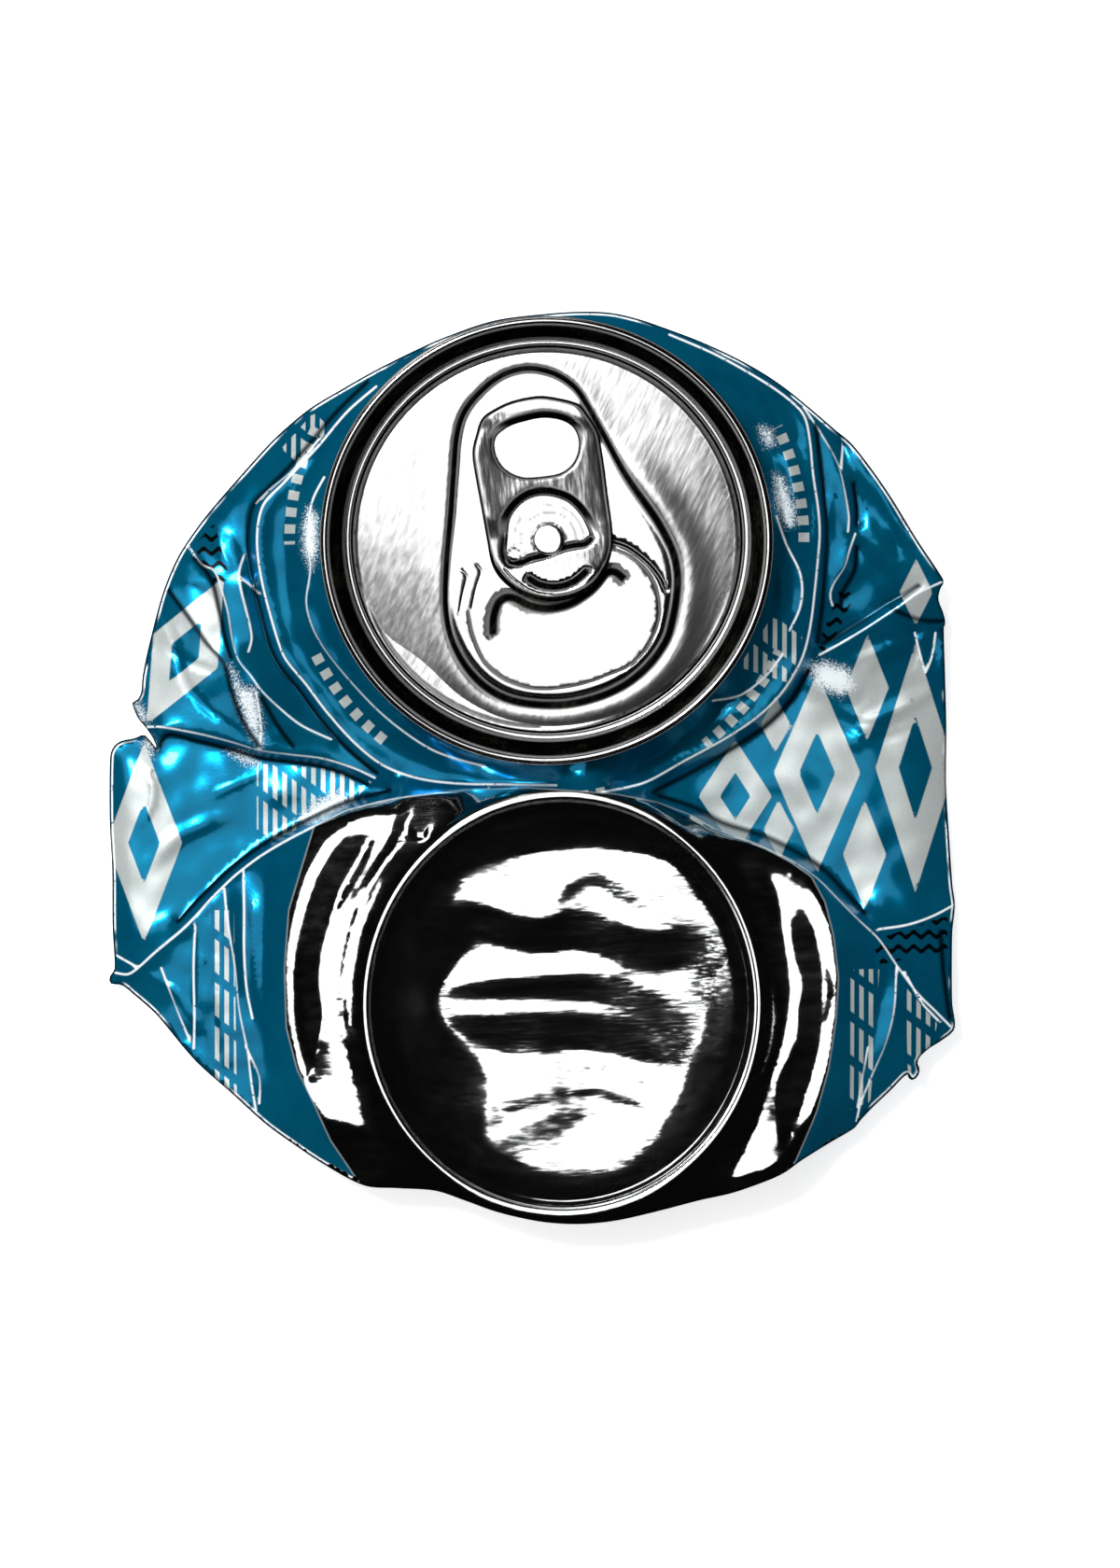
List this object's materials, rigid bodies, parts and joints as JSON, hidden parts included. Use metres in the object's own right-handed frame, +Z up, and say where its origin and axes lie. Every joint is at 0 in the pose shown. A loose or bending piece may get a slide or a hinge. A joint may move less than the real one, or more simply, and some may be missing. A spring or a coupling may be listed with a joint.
{
  "type": "crushed drink can",
  "caption": "Aluminium drinks can crushed flat, lying on its back wall with its lid, pull tab and domed base facing up and its wall folded round them.",
  "frame": {"origin": "middle of the object's outline, on the surface that it lies on", "axes": "+Z up, away from the surface it lies on; +Y from the domed base towards the lid; +X to the right seen from above"},
  "size_m": [0.1016, 0.1088, 0.017],
  "materials": {
    "printed_body": "metallic blue print under clear lacquer, bare aluminium at the base",
    "lid": "brushed satin panel, polished seam",
    "tab": "brushed along its length"
  },
  "bodies": {
    "root": {"can_body": "printed_body", "can_end": "lid", "pull_tab": "tab"}
  },
  "joints": []
}
